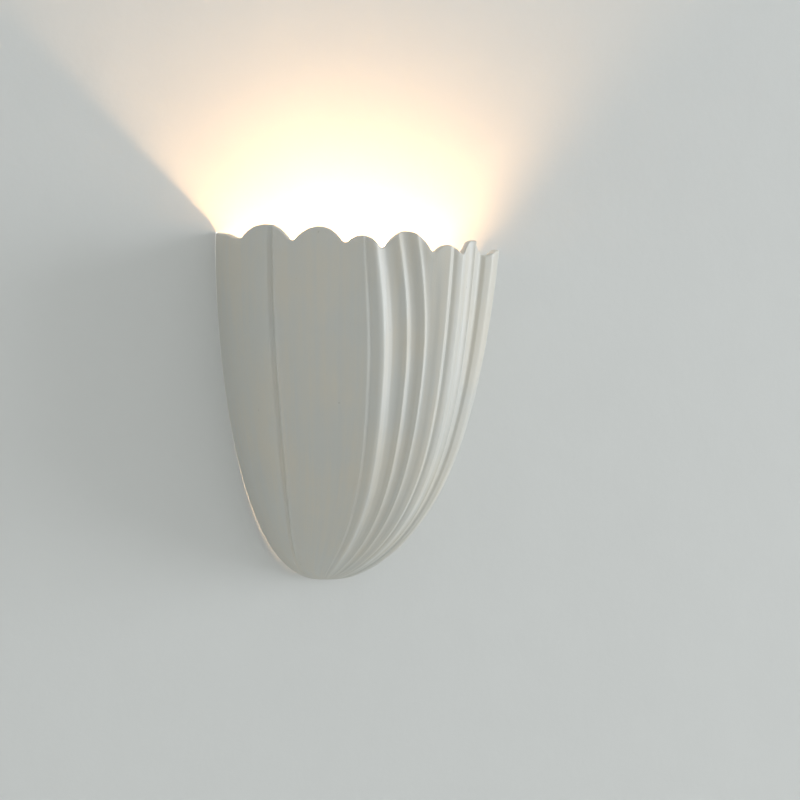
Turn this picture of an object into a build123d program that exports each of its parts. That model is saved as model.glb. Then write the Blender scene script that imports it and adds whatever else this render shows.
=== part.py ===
from build123d import *
import os
from math import atan2, cos, pi, radians, sin, tan

os.makedirs("parts", exist_ok=True)

# Frame: the wall is the plane Y = 0, the lamp stands out of it towards -Y, +Z is up.
# The origin is the centre of the two wall slots, on the wall.

# ---- shell, mm ----
mouth_half_width = 108.5        # half the width at the top, at the wall
mouth_depth = 101.8             # how far the top stands out from the wall
shell_height = 269.0            # tallest lobe to bottom tip
rim_level = 80.0                # bottom of the rim's notches above the wall slots
wall_thick = 5.0                # cast wall, sideways
tip_thick = 9.0                 # cast wall at the bottom tip
tip_flat = 0.3                  # the tip is cut off this far up, where it is still a small oval
squareness = 2.24               # 2 is an ellipse, more is squarer
belly = 0.15                    # how much fuller the front gets on its way down
side_fall, side_round = 1.51, 2.45      # how late, and how bluntly, the sides close in to the tip
front_fall, front_round = 4.4, 1.0      # the same for the front
flute_inside = 0.7              # share of the flutes that shows on the inner face
back_gap_bottom = 0.9           # how far the bottom of the back edge stands off the wall
back_gap_top = 0.3              # the same at the rim
back_touch_level = -30.0        # height where the back edge touches the wall
section_falls = [0.0, 0.04, 0.16, 0.30, 0.45, 0.60, 0.73, 0.83, 0.90, 0.95, 0.98, 0.993]    # top to tip

# Flutes of the right half: each span runs between two sharp edges, as (angle from the front, height).
flute_spans = [
    [(4.1, 0.0), (7.0, -1.0), (10.0, 2.0), (14.0, 4.4), (17.5, 2.0)],
    [(17.5, 2.0), (22.0, 4.5), (28.0, 1.7), (31.5, 2.2)],
    [(31.5, 2.2), (36.0, -1.6), (42.0, -3.0), (51.0, 3.0)],
    [(51.0, 3.0), (62.0, -1.0), (74.0, 1.5), (90.0, 0.0)],
]
centre_valley = -2.5            # flute height at the front, between the first two edges
# Rim: angles of the notches, and heights of the lobes, the front one first.
notch_angles = [10.6, 23.8, 44.0, 69.5]
lobe_heights = [12.0, 6.0, 10.5, 8.5]
end_lobe_height = 2.7           # where the rim meets the wall
end_lobe_middle = 0.7           # height of the rim halfway to the wall, as a share of that
end_share = 0.3                 # share of the end's height already reached at the shoulder before it
lobe_shoulder = 0.55            # where a lobe's shoulder lies, as a share of the way to its notch
lobe_roundness = 0.76           # height of a lobe at its shoulder, as a share

lug_height = 22.0               # cast lugs that carry the hanger pins
lug_depth = 24.0
lug_corner = 4.0

# ---- wall plate and arm, mm ----
sheet = 1.5                     # steel sheet
mouth_to_ear = 26.5             # from the shell's edge at the mouth in to the plate's ears
bar_height = 28.0
ear_depth = 25.0
ear_corner = 4.0
tongue_half_width = 32.0
tip_to_tongue = 39.0            # from the shell's tip up to the tongue's bottom edge
tongue_corner = 5.0
joggle = 5.0                    # the tongue stands this far off the wall
joggle_start = -17.0
joggle_end = -23.0
joggle_shift = 0.5              # room side of the joggle below its wall side
tongue_in_bar = 3.0             # tongue's root inside the bar
inside_bend = 1.0               # radius inside a fold
slot_spacing = 100.0            # wall slots, centre to centre
slot_length = 12.0
slot_width = 5.0

arm_half_width = 16.0
arm_past_lamp = 18.0            # front end of the arm past the lamp's axis
arm_above = 54.0                # arm, its screws and the poles over the tongue's bottom edge
arm_screws_above = 39.0
earth_above = 47.0
block_above = 16.0
arm_corner = 5.0
leg_corner = 4.0
arm_leg = 24.0                  # height of the arm's wall leg
arm_screw_spacing = 16.0
lead_window = (17.0, 7.0)       # slot in the arm for the leads

# ---- hanger pins, mm ----
pin_radius = 2.5                # shoulder, which drops into an ear's slot
pin_out = 16.0                  # pin axis from the wall
pin_head_radius = 4.5
pin_head_thick = 2.4
pin_thread_radius = 2.0
pin_thread_length = 7.0
pin_slot = 1.1                  # screwdriver slot
insert_radius = 3.5
insert_length = 8.0
insert_room = 0.5               # hole deeper than the insert
washer_radius = 5.5
washer_thick = 1.0

# ---- screws and nuts, mm: radius, length, head radius, head height / across flats, height ----
m4_radius, m4_length, m4_head, m4_head_height = 2.0, 7.5, 3.9, 2.6
m4_flats, m4_nut = 7.0, 2.6
m3_radius, m3_head, m3_head_height = 1.5, 2.8, 2.0
m3_flats, m3_nut = 5.5, 2.2
past_nut = 0.6                  # how far a screw stands out of its nut
head_dome = 0.45                # rounding of a head, as a share of its height
cross_length, cross_width = 1.1, 0.26   # cross recess, as shares of the head's radius
cross_deep = 0.6                # its depth, as a share of the head's height
end_bevel = 0.25                # bevel at a screw's end, as a share of its radius

# ---- lamp holder and lamp, mm ----
lamp_out = 44.0                 # lamp axis from the wall
holder_height = 20.5
holder_width = 22.0
holder_depth = 15.0
holder_foot_width = 34.0
holder_foot_height = 6.0
holder_corner = 4.0
holder_edge = 0.6
holder_screw_spacing = 28.0
socket_width = 17.0             # recess for the lamp's foot
socket_depth = 9.4
socket_deep = 5.0
socket_corner = 1.5
pin_spacing = 9.0               # the lamp's two wire loops
loop_wire = 0.4                 # wire radius of a loop
loop_half = 0.8                 # half the distance between a loop's legs
loop_length = 10.0
contact_width = 5.0
contact_depth = 3.0
contact_height = 10.0
contact_floor = 1.0             # brass under a loop
chamber_roof = 1.5              # ceramic over the contacts
loop_slit_room = 0.8            # slit wider than a loop

bulb_radius = 8.0
bulb_wall = 1.0
bulb_length = 41.0              # cover over the collar
collar_rim = 0.5                # collar wider than the cover
collar_edge = 0.6
foot_corner = 1.2
collar_height = 7.0
collar_above = 1.5              # collar over the holder's top
core_gap = 2.5                  # between the cover's inside and the core
core_top_gap = 5.0

# ---- terminal block, grommet, earth, leads, mm ----
block_x = 4.0
block_width = 22.0
block_depth = 13.0
block_seat = 9.5                # depth of the body between the poles, where the fixing screw sits
tower_inset = 1.5               # towers and tubes end this far inside the block's sides
tower_height = 6.2
tower_corner = 2.5
pole_pitch = 8.5
tube_radius = 2.25
tube_bore = 1.5
clamp_radius = 1.4
clamp_length = 4.5
clamp_spacing = 11.0
clamp_slot, clamp_slot_deep = 0.6, 0.8
clamp_reach = 0.6               # how far short of the tube's axis a clamp screw ends
well_radius = 2.0

gland_x = -20.0
gland_hole = 6.0
gland_bore = 4.0
gland_flange = 8.0
gland_lip = 2.0

earth_x = 24.0
ring_radius = 4.0
ring_thick = 0.8
barrel_radius = 1.9
barrel_length = 7.0
neck_length = 3.0
neck_overlap = 0.5              # neck into the barrel
washer_teeth = 12
tooth_width, tooth_out, tooth_root = 0.9, 0.8, 0.3

lead_radius = 1.2
lead_end = 3.0                  # a lead ends this far inside the block's side
live_drop = 20.0                # straight way down under the holder
neutral_drop = 25.0
# Bends of a lead on its way to its pole: right of the block's side, out from the poles, above its own pole.
live_bends = [(0.0, 26.0, 6.0), (15.0, 15.0, 3.0), (16.0, 0.0, 0.0)]
neutral_bends = [(-11.0, 23.0, 10.5), (16.0, 11.0, 4.5), (17.0, 0.0, 0.0)]
earth_swing = 6.0               # earth lead past the block's side
earth_rise = 4.0                # and its straight way up into the ring's barrel
barrel_stop = 1.5               # a lead ends this far below the barrel's top

# ---- clearances, mm ----
running = 0.1                   # pin in its slot, screw in a clear hole
thread_gap = 0.05               # screw in its nut, insert in its hole
side_gap = 0.3                  # between the plate's ears and what hangs beside them
foot_gap = 0.3                  # lamp's foot in its socket
seat_gap = 0.2                  # lamp's foot above the socket floor
cut_past = 4.0                  # how far a cut runs past what it cuts
lobe_overlap = 0.003            # radians that a rim cut reaches past its lobe, into the next one
wall_overlap = 0.2              # the same at the wall, where nothing follows
cut_near, cut_far = 0.6, 1.5    # where a rim cut starts and ends, as shares of the mouth's half width

# ---- worked out from the above ----
shell_top = rim_level + max(lobe_heights)
shell_tip = shell_top - shell_height
bar_half_width = mouth_half_width - mouth_to_ear
tongue_bottom = shell_tip + tip_to_tongue
arm_top = tongue_bottom + arm_above
arm_reach = lamp_out + arm_past_lamp
arm_screw_level = tongue_bottom + arm_screws_above
earth_level = tongue_bottom + earth_above
block_level = tongue_bottom + block_above
tongue_front = -(joggle + sheet)
bar_overlap = tongue_in_bar - bar_height / 2
ear_inside = bar_half_width - sheet
lug_face = bar_half_width + side_gap + washer_thick
arm_front = tongue_front - sheet
holder_top = arm_top + holder_height
socket_floor = holder_top - socket_deep
foot_level = socket_floor + seat_gap
contact_top = socket_floor - chamber_roof
contact_bottom = contact_top - contact_height
collar_level = holder_top + collar_above
bulb_level = collar_level + collar_height
bulb_top = bulb_level + bulb_length
collar_radius = bulb_radius + collar_rim
core_radius = bulb_radius - bulb_wall - core_gap
block_height = 3 * pole_pitch
block_front = tongue_front - block_depth
pole_y = tongue_front - block_depth / 2
pole_levels = [block_level + i * pole_pitch for i in (1, 0, -1)]
block_side = block_x + block_width / 2
tube_length = block_width - 2 * tower_inset
gland_level = block_level

tiny = 0.01                     # two places this near are the same

middle_up = (Align.CENTER, Align.CENTER, Align.MIN)
middle_down = (Align.CENTER, Align.CENTER, Align.MAX)


def save(piece, name):
    """Label one finished piece and write it out."""
    piece.part.label = name
    export_step(piece.part, f"parts/{name}.step")


def facing_room(x, y, z):
    """Plane with its normal away from the wall."""
    return Plane(origin=(x, y, z), x_dir=(1, 0, 0), z_dir=(0, -1, 0))


def facing_wall(x, y, z):
    """Plane with its normal into the wall."""
    return Plane(origin=(x, y, z), x_dir=(1, 0, 0), z_dir=(0, 1, 0))


# ---- shell ----
def meridian(level, inset, floor):
    """Half width and depth of the shell at one height, a given distance in from its outside."""
    fall = min(max((shell_top - level) / (shell_height - floor), 0.0), 1.0)
    width = (mouth_half_width - inset) * (1 - fall**side_fall) ** (1 / side_round)
    depth = (mouth_depth - inset) * (1 + belly * fall) * (1 - fall**front_fall) ** (1 / front_round)
    return width, depth


def shell_point(angle, flute, level, inset=0.0, floor=0.0):
    """Point on the shell: angle 0 is the front, 90 the right-hand wall edge."""
    width, depth = meridian(level, inset, floor)
    across, out = sin(radians(angle)), cos(radians(angle))
    swell = (abs(across) ** squareness + abs(out) ** squareness) ** (-1 / squareness)
    rise = flute * width / mouth_half_width
    return ((width * swell + rise) * across, -(depth * swell + rise) * out)


def shell_section(level, inset=0.0, floor=0.0, flute_share=1.0, past_wall=0.0):
    """Closed outline at one height: splines between the sharp edges, straight along the wall."""
    first_angle, first_height = flute_spans[0][0]
    valley = [(-first_angle, first_height), (0.0, centre_valley), (first_angle, first_height)]
    left_spans = [[(-a, h) for a, h in reversed(span)] for span in reversed(flute_spans)]
    with BuildSketch(Plane.XY.offset(level)) as section:
        with BuildLine():
            for span in left_spans + [valley] + flute_spans:
                Spline(*[shell_point(a, h * flute_share, level, inset, floor) for a, h in span])
            end_x, end_y = shell_point(90, 0, level, inset, floor)
            if past_wall:
                Polyline((end_x, end_y), (end_x, past_wall), (-end_x, past_wall), (-end_x, end_y))
            else:
                Line((end_x, end_y), (-end_x, end_y))
        make_face()
    return section.sketch


def section_levels(tip):
    """Heights of the sections, closer together where the shell curves in to its tip."""
    drop = shell_top - tip
    return [shell_top + cut_past] + [shell_top - fall * drop for fall in section_falls] + [tip + tip_flat]


def direction(angle):
    """True angle from the front, in radians, at which a shell angle lies on the rim."""
    x, y = shell_point(angle, 0, rim_level)
    return atan2(x, -y)


def lobe_cutter(start, end, height, end_height=0.0, past_end=lobe_overlap):
    """Everything above one rounded lobe of the rim, as a wedge out of the middle of the mouth."""
    middle = (direction(start) + direction(end)) / 2
    half = (direction(end) - direction(start)) / 2
    room = max(lobe_heights) + 2 * cut_past
    ends = []
    for reach in (mouth_half_width * cut_near, mouth_half_width * cut_far):
        side, before, past = reach * tan(half), reach * tan(half + lobe_overlap), reach * tan(half + past_end)
        foot = (sin(middle) * reach, -cos(middle) * reach, rim_level)
        outward = (sin(middle), -cos(middle), 0)
        upright = Plane(origin=foot, x_dir=(cos(middle), sin(middle), 0), z_dir=outward)
        with BuildSketch(upright) as face:
            with BuildLine():
                across, up = side * lobe_shoulder, height * lobe_roundness
                Spline(
                    (-side, 0), (-across, up), (0, height),
                    (across, up + end_height * end_share), (side, end_height),
                )
                Polyline(
                    (side, end_height), (past, end_height), (past, room),
                    (-before, room), (-before, 0), (-side, 0),
                )
            make_face()
        ends.append(face.sketch)
    with BuildPart() as wedge:
        loft(sections=ends, ruled=True)
    return wedge.part


cutters = [lobe_cutter(-notch_angles[0], notch_angles[0], lobe_heights[0])]
for start, end, height in zip(notch_angles, notch_angles[1:], lobe_heights[1:]):
    cutters.append(lobe_cutter(start, end, height))
end_middle = end_lobe_height * end_lobe_middle
cutters.append(lobe_cutter(notch_angles[-1], 90, end_middle, end_lobe_height, past_end=wall_overlap))
cutters += [cutter.mirror(Plane.YZ) for cutter in cutters[1:]]


def on_lug(side):
    """Plane on a lug's face at its pin, its normal towards the middle of the lamp."""
    return Plane(origin=(side * lug_face, -pin_out, 0), z_dir=(-side, 0, 0))


with BuildPart() as cavity:
    loft(sections=[
        shell_section(level, wall_thick, tip_thick, flute_inside, past_wall=cut_past)
        for level in section_levels(shell_tip + tip_thick)
    ])
    for side in (-1, 1):
        # The two cast lugs stay solid.
        with BuildSketch(on_lug(side)):
            RectangleRounded(lug_depth, lug_height, lug_corner)
        extrude(amount=-mouth_half_width, mode=Mode.SUBTRACT)

with BuildPart() as shell:
    loft(sections=[shell_section(level) for level in section_levels(shell_tip)])
    add(cavity.part, mode=Mode.SUBTRACT)
    for cutter in cutters:
        add(cutter, mode=Mode.SUBTRACT)
    # The back edge is a shallow arc that touches the wall in its middle, so light leaks past it.
    with BuildSketch(Plane.YZ):
        with BuildLine():
            ThreePointArc(
                (-back_gap_bottom, shell_tip), (0, back_touch_level), (-back_gap_top, shell_top)
            )
            Polyline(
                (-back_gap_top, shell_top), (cut_past, shell_top),
                (cut_past, shell_tip), (-back_gap_bottom, shell_tip),
            )
        make_face()
    extrude(amount=mouth_half_width + cut_past, both=True, mode=Mode.SUBTRACT)
    for side in (-1, 1):
        with Locations(on_lug(side)):
            Hole(insert_radius + thread_gap, insert_length + insert_room)
save(shell, "shell")

with BuildPart() as shell_inserts:
    for side in (-1, 1):
        with BuildSketch(on_lug(side)):
            Circle(insert_radius)
            Circle(pin_thread_radius + thread_gap, mode=Mode.SUBTRACT)
        extrude(amount=-insert_length)
save(shell_inserts, "shell_inserts")

with BuildPart() as hanger_washers:
    for side in (-1, 1):
        with BuildSketch(on_lug(side)):
            Circle(washer_radius)
            Circle(pin_radius + thread_gap, mode=Mode.SUBTRACT)
        extrude(amount=washer_thick)
save(hanger_washers, "hanger_washers")

# Shoulder screws: the head stays inside the ear, the shoulder drops into the ear's slot.
shoulder = lug_face - ear_inside + side_gap
with BuildPart() as hanger_pins:
    for side in (-1, 1):
        with Locations(on_lug(side)):
            Cylinder(pin_radius, shoulder, align=middle_up)
            Cylinder(pin_thread_radius, pin_thread_length, align=middle_down)
        with Locations(on_lug(side).offset(shoulder)):
            Cylinder(pin_head_radius, pin_head_thick, align=middle_up)
        with BuildSketch(on_lug(side).offset(shoulder + pin_head_thick)):
            Rectangle(2 * pin_head_radius + cut_past, pin_slot)
        extrude(amount=-pin_slot, mode=Mode.SUBTRACT)
save(hanger_pins, "hanger_pins")


# ---- fasteners ----
def pan_screw(radius, length, head_radius, head_height):
    """Cross-head screw, head upwards, seated at Z = 0."""
    with BuildPart() as screw:
        Cylinder(head_radius, head_height, align=middle_up)
        fillet(screw.edges().group_by(Axis.Z)[-1], head_height * head_dome)
        with BuildSketch(Plane.XY.offset(head_height)):
            Rectangle(head_radius * cross_length, head_radius * cross_width)
            Rectangle(head_radius * cross_width, head_radius * cross_length)
        extrude(amount=-head_height * cross_deep, mode=Mode.SUBTRACT)
        Cylinder(radius, length, align=middle_down)
        chamfer(screw.edges().group_by(Axis.Z)[0], radius * end_bevel)
    return screw.part


def hex_nut(screw_radius, across_flats, height):
    """Plain nut standing on Z = 0."""
    with BuildPart() as nut:
        with BuildSketch():
            RegularPolygon(across_flats / 2, 6, major_radius=False)
            Circle(screw_radius + thread_gap, mode=Mode.SUBTRACT)
        extrude(amount=height)
    return nut.part


def placed(name, piece, planes):
    """One node with a copy of the piece on each plane."""
    with BuildPart() as group:
        with Locations(*planes):
            add(piece)
    save(group, name)


arm_screw_xs = [-arm_screw_spacing / 2, arm_screw_spacing / 2]
holder_screw_xs = [-holder_screw_spacing / 2, holder_screw_spacing / 2]
fixing_level = block_level + pole_pitch / 2      # between two poles of the terminal block

# ---- wall plate: a bar with two side ears and a joggled tongue, folded from one sheet ----
with BuildPart() as wall_plate:
    with BuildSketch(Plane.XZ):
        Rectangle(2 * bar_half_width, bar_height)
    extrude(amount=sheet)
    for side in (-1, 1):
        with BuildSketch(Plane.YZ.offset(side * ear_inside)) as ear:
            Rectangle(ear_depth, bar_height, align=(Align.MAX, Align.CENTER))
            fillet(ear.vertices().group_by(Axis.X)[0], ear_corner)
        extrude(amount=side * sheet)
    folds = wall_plate.edges().filter_by(Axis.Z).filter_by(lambda e: e.length > bar_height - tiny)
    fillet(folds.filter_by(lambda e: abs(e.center().Y + sheet) < tiny), inside_bend)
    folds = wall_plate.edges().filter_by(Axis.Z).filter_by(lambda e: e.length > bar_height - tiny)
    fillet(folds.group_by(Axis.Y)[-1], sheet + inside_bend)
    with BuildSketch(Plane.YZ):
        with BuildLine():
            Polyline(
                (0, bar_overlap), (0, joggle_start), (-joggle, joggle_end), (-joggle, tongue_bottom),
                (tongue_front, tongue_bottom), (tongue_front, joggle_end - joggle_shift),
                (-sheet, joggle_start - joggle_shift), (-sheet, bar_overlap), close=True,
            )
        make_face()
    extrude(amount=tongue_half_width, both=True)
    corners = wall_plate.edges().filter_by(Axis.Y).group_by(Axis.Z)[0]
    fillet(corners, tongue_corner)
    # Open slots for the hanger pins, rounded at the bottom where the pins rest.
    with BuildSketch(Plane.YZ):
        with Locations((-pin_out, 0)):
            Circle(pin_radius + running)
            Rectangle(2 * (pin_radius + running), bar_height, align=(Align.CENTER, Align.MIN))
    extrude(amount=bar_half_width + cut_past, both=True, mode=Mode.SUBTRACT)
    # Wall slots, and the holes in the tongue.
    with BuildSketch(Plane.XZ):
        with Locations((-slot_spacing / 2, 0), (slot_spacing / 2, 0)):
            SlotOverall(slot_length, slot_width)
        with Locations(*[(x, arm_screw_level) for x in arm_screw_xs], (earth_x, earth_level)):
            Circle(m4_radius + running)
        with Locations((block_x, fixing_level)):
            Circle(m3_radius + running)
        with Locations((gland_x, gland_level)):
            Circle(gland_hole)
    extrude(amount=joggle + 2 * sheet, mode=Mode.SUBTRACT)
save(wall_plate, "wall_plate")

# ---- arm ----
with BuildPart() as lamp_arm:
    with BuildSketch(Plane.YZ):
        with BuildLine():
            Polyline(
                (tongue_front, arm_top), (-arm_reach, arm_top), (-arm_reach, arm_top - sheet),
                (arm_front, arm_top - sheet), (arm_front, arm_top - arm_leg), (tongue_front, arm_top - arm_leg),
                close=True,
            )
        make_face()
    extrude(amount=arm_half_width, both=True)
    bend = lamp_arm.edges().filter_by(Axis.X)
    outside = (tongue_front, arm_top)
    inside = (arm_front, arm_top - sheet)
    for (y, z), radius in ((outside, sheet + inside_bend), (inside, inside_bend)):
        fillet(bend.filter_by(lambda e: abs(e.center().Y - y) + abs(e.center().Z - z) < tiny), radius)
    fillet(lamp_arm.edges().filter_by(Axis.Z).group_by(Axis.Y)[0], arm_corner)
    fillet(lamp_arm.edges().filter_by(Axis.Y).group_by(Axis.Z)[0], leg_corner)
    with BuildSketch(Plane.XY.offset(arm_top)):
        with Locations((0, -lamp_out)):
            SlotOverall(*lead_window)
        with Locations(*[(x, -lamp_out) for x in holder_screw_xs]):
            Circle(m3_radius + running)
    extrude(amount=-sheet, mode=Mode.SUBTRACT)
    with BuildSketch(Plane.XZ.offset(-tongue_front)):
        with Locations(*[(x, arm_screw_level) for x in arm_screw_xs]):
            Circle(m4_radius + running)
    extrude(amount=sheet, mode=Mode.SUBTRACT)
save(lamp_arm, "lamp_arm")

m4_screw = pan_screw(m4_radius, m4_length, m4_head, m4_head_height)
placed("arm_screws", m4_screw, [facing_room(x, arm_front, arm_screw_level) for x in arm_screw_xs])
m4_hex = hex_nut(m4_radius, m4_flats, m4_nut)
placed("arm_nuts", m4_hex, [facing_wall(x, -joggle, arm_screw_level) for x in arm_screw_xs])

# ---- lamp holder ----
with BuildPart() as lamp_holder:
    with BuildSketch(Plane.XY.offset(arm_top)):
        with Locations((0, -lamp_out)):
            SlotOverall(holder_foot_width, holder_depth)
    extrude(amount=holder_foot_height)
    with BuildSketch(Plane.XY.offset(arm_top)):
        with Locations((0, -lamp_out)):
            RectangleRounded(holder_width, holder_depth, holder_corner)
    extrude(amount=holder_height)
    chamfer(lamp_holder.edges().group_by(Axis.Z)[-1], holder_edge)
    with BuildSketch(Plane.XY.offset(holder_top)):
        with Locations((0, -lamp_out)):
            RectangleRounded(socket_width, socket_depth, socket_corner)
    extrude(amount=-socket_deep, mode=Mode.SUBTRACT)
    for x in (-pin_spacing / 2, pin_spacing / 2):
        # A slit for the wire loop, over a chamber that is open below.
        with BuildSketch(Plane.XY.offset(socket_floor)):
            with Locations((x, -lamp_out)):
                SlotOverall(2 * (loop_half + loop_wire) + loop_slit_room, 2 * loop_wire + loop_slit_room)
        extrude(amount=-chamber_roof, mode=Mode.SUBTRACT)
        with BuildSketch(Plane.XY.offset(arm_top)):
            with Locations((x, -lamp_out)):
                Rectangle(contact_width + 2 * thread_gap, contact_depth + 2 * thread_gap)
        extrude(amount=contact_top - arm_top, mode=Mode.SUBTRACT)
    with BuildSketch(Plane.XY.offset(arm_top)):
        with Locations(*[(x, -lamp_out) for x in holder_screw_xs]):
            Circle(m3_radius + running)
    extrude(amount=holder_foot_height, mode=Mode.SUBTRACT)
save(lamp_holder, "lamp_holder")

with BuildPart() as holder_contacts:
    with BuildSketch(Plane.XY.offset(contact_bottom)):
        with Locations((-pin_spacing / 2, -lamp_out), (pin_spacing / 2, -lamp_out)):
            Rectangle(contact_width, contact_depth)
    extrude(amount=contact_height)
    with BuildSketch(Plane.XY.offset(contact_top)):
        with Locations((-pin_spacing / 2, -lamp_out), (pin_spacing / 2, -lamp_out)):
            SlotOverall(2 * (loop_half + loop_wire + running), 2 * (loop_wire + running))
    extrude(amount=contact_floor - contact_height, mode=Mode.SUBTRACT)
save(holder_contacts, "holder_contacts")

holder_screw_length = holder_foot_height + sheet + m3_nut + past_nut
m3_short = pan_screw(m3_radius, holder_screw_length, m3_head, m3_head_height)
holder_seats = [Plane((x, -lamp_out, arm_top + holder_foot_height)) for x in holder_screw_xs]
placed("holder_screws", m3_short, holder_seats)
m3_hex = hex_nut(m3_radius, m3_flats, m3_nut)
placed("holder_nuts", m3_hex, [Plane((x, -lamp_out, arm_top - sheet - m3_nut)) for x in holder_screw_xs])

# ---- lamp: a capsule that pushes into the holder ----
with BuildPart() as bulb_base:
    with BuildSketch(Plane.XY.offset(foot_level)):
        with Locations((0, -lamp_out)):
            RectangleRounded(socket_width - 2 * foot_gap, socket_depth - 2 * foot_gap, foot_corner)
    extrude(amount=collar_level - foot_level)
    with Locations((0, -lamp_out, collar_level)):
        Cylinder(collar_radius, collar_height, align=middle_up)
    fillet(bulb_base.edges().group_by(Axis.Z)[-1], collar_edge)
save(bulb_base, "bulb_base")

with BuildPart() as bulb_cover:
    with BuildSketch(Plane.XZ):
        with BuildLine():
            dome = bulb_top - bulb_radius
            Polyline((0, bulb_level), (bulb_radius, bulb_level), (bulb_radius, dome))
            ThreePointArc(
                (bulb_radius, dome),
                (bulb_radius * sin(radians(45)), dome + bulb_radius * cos(radians(45))),
                (0, bulb_top),
            )
            Line((0, bulb_top), (0, bulb_level))
        make_face()
        with BuildLine():
            inner = bulb_radius - bulb_wall
            Polyline((0, bulb_level), (inner, bulb_level), (inner, dome))
            ThreePointArc(
                (inner, dome),
                (inner * sin(radians(45)), dome + inner * cos(radians(45))),
                (0, bulb_top - bulb_wall),
            )
            Line((0, bulb_top - bulb_wall), (0, bulb_level))
        make_face(mode=Mode.SUBTRACT)
    revolve(axis=Axis.Z)
bulb_cover.part.position = (0, -lamp_out, 0)
save(bulb_cover, "bulb_cover")

with BuildPart() as led_core:
    with Locations((0, -lamp_out, bulb_level)):
        Cylinder(core_radius, bulb_top - core_top_gap - bulb_level, align=middle_up)
save(led_core, "led_core")

with BuildPart() as bulb_loops:
    for x in (-pin_spacing / 2, pin_spacing / 2):
        bottom = foot_level - loop_length + loop_half + loop_wire
        with BuildLine():
            Line((x - loop_half, -lamp_out, foot_level), (x - loop_half, -lamp_out, bottom))
            ThreePointArc(
                (x - loop_half, -lamp_out, bottom),
                (x, -lamp_out, bottom - loop_half),
                (x + loop_half, -lamp_out, bottom),
            )
            Line((x + loop_half, -lamp_out, bottom), (x + loop_half, -lamp_out, foot_level))
        with BuildSketch(Plane(origin=(x - loop_half, -lamp_out, foot_level), z_dir=(0, 0, -1))):
            Circle(loop_wire)
        sweep()
save(bulb_loops, "bulb_loops")

# ---- terminal block ----
with BuildPart() as terminal_block:
    with BuildSketch(facing_room(block_x, tongue_front, block_level)):
        Rectangle(block_width, block_height)
    extrude(amount=block_seat)
    for level in pole_levels:
        # A raised tower over each pole, with a well for each clamp screw.
        with BuildSketch(facing_room(block_x, tongue_front, level)):
            RectangleRounded(tube_length, tower_height, tower_corner)
        extrude(amount=block_depth)
    for level in pole_levels:
        with Locations(Plane(origin=(block_x, pole_y, level), z_dir=(1, 0, 0))):
            Cylinder(tube_radius + thread_gap, block_width, mode=Mode.SUBTRACT)
        with Locations(*[facing_room(block_x + s * clamp_spacing / 2, block_front, level) for s in (-1, 1)]):
            Cylinder(well_radius, block_depth / 2, align=middle_down, mode=Mode.SUBTRACT)
    with Locations(facing_room(block_x, tongue_front, fixing_level)):
        Cylinder(m3_radius + running, block_depth, align=middle_up, mode=Mode.SUBTRACT)
    with Locations(facing_room(block_x, tongue_front - block_seat, fixing_level)):
        Cylinder(m3_head + 2 * running, block_depth, align=middle_up, mode=Mode.SUBTRACT)
save(terminal_block, "terminal_block")

with BuildPart() as terminal_tubes:
    for level in pole_levels:
        with BuildSketch(Plane(origin=(block_x - tube_length / 2, pole_y, level), z_dir=(1, 0, 0))):
            Circle(tube_radius)
            Circle(tube_bore, mode=Mode.SUBTRACT)
        extrude(amount=tube_length)
        with Locations(*[facing_room(block_x + s * clamp_spacing / 2, pole_y, level) for s in (-1, 1)]):
            Cylinder(clamp_radius + thread_gap, tube_radius + 1, align=middle_up, mode=Mode.SUBTRACT)
save(terminal_tubes, "terminal_tubes")

with BuildPart() as clamp_screw:
    Cylinder(clamp_radius, clamp_length, align=middle_up)
    with BuildSketch(Plane.XY.offset(clamp_length)):
        Rectangle(2 * clamp_radius + cut_past, clamp_slot)
    extrude(amount=-clamp_slot_deep, mode=Mode.SUBTRACT)
placed("terminal_screws", clamp_screw.part, [
    facing_room(block_x + s * clamp_spacing / 2, pole_y - clamp_reach, level)
    for level in pole_levels for s in (-1, 1)
])

m3_long = pan_screw(m3_radius, block_seat + sheet + m3_nut + past_nut, m3_head, m3_head_height)
placed("block_screw", m3_long, [facing_room(block_x, tongue_front - block_seat, fixing_level)])
placed("block_nut", m3_hex, [facing_wall(block_x, -joggle, fixing_level)])

# ---- cable grommet ----
with BuildPart() as cable_grommet:
    grip = gland_hole - thread_gap
    with BuildSketch(Plane.XY):
        with BuildLine():
            Polyline(
                (gland_bore, -gland_lip), (gland_flange, -gland_lip), (gland_flange, 0), (grip, 0),
                (grip, sheet), (gland_flange, sheet), (gland_flange - 1, sheet + gland_lip),
                (gland_bore, sheet + gland_lip), close=True,
            )
        make_face()
    revolve(axis=Axis.Y)
cable_grommet.part.position = (gland_x, tongue_front, gland_level)
save(cable_grommet, "cable_grommet")

# ---- earth point ----
with BuildPart() as ring_terminal:
    with BuildSketch(facing_room(earth_x, tongue_front, earth_level)):
        Circle(ring_radius)
        with Locations((0, -ring_radius)):
            Rectangle(2 * barrel_radius, 2 * neck_length)
        Circle(m4_radius + running, mode=Mode.SUBTRACT)
    extrude(amount=ring_thick)
    barrel_top = earth_level - ring_radius - neck_length + neck_overlap
    barrel_y = tongue_front - barrel_radius
    with BuildSketch(Plane.XY.offset(barrel_top)):
        with Locations((earth_x, barrel_y)):
            Circle(barrel_radius)
    extrude(amount=-barrel_length)
    with BuildSketch(Plane.XY.offset(barrel_top - barrel_length)):
        with Locations((earth_x, barrel_y)):
            Circle(lead_radius + thread_gap)
    extrude(amount=barrel_length - 1, mode=Mode.SUBTRACT)
save(ring_terminal, "ring_terminal")

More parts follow.
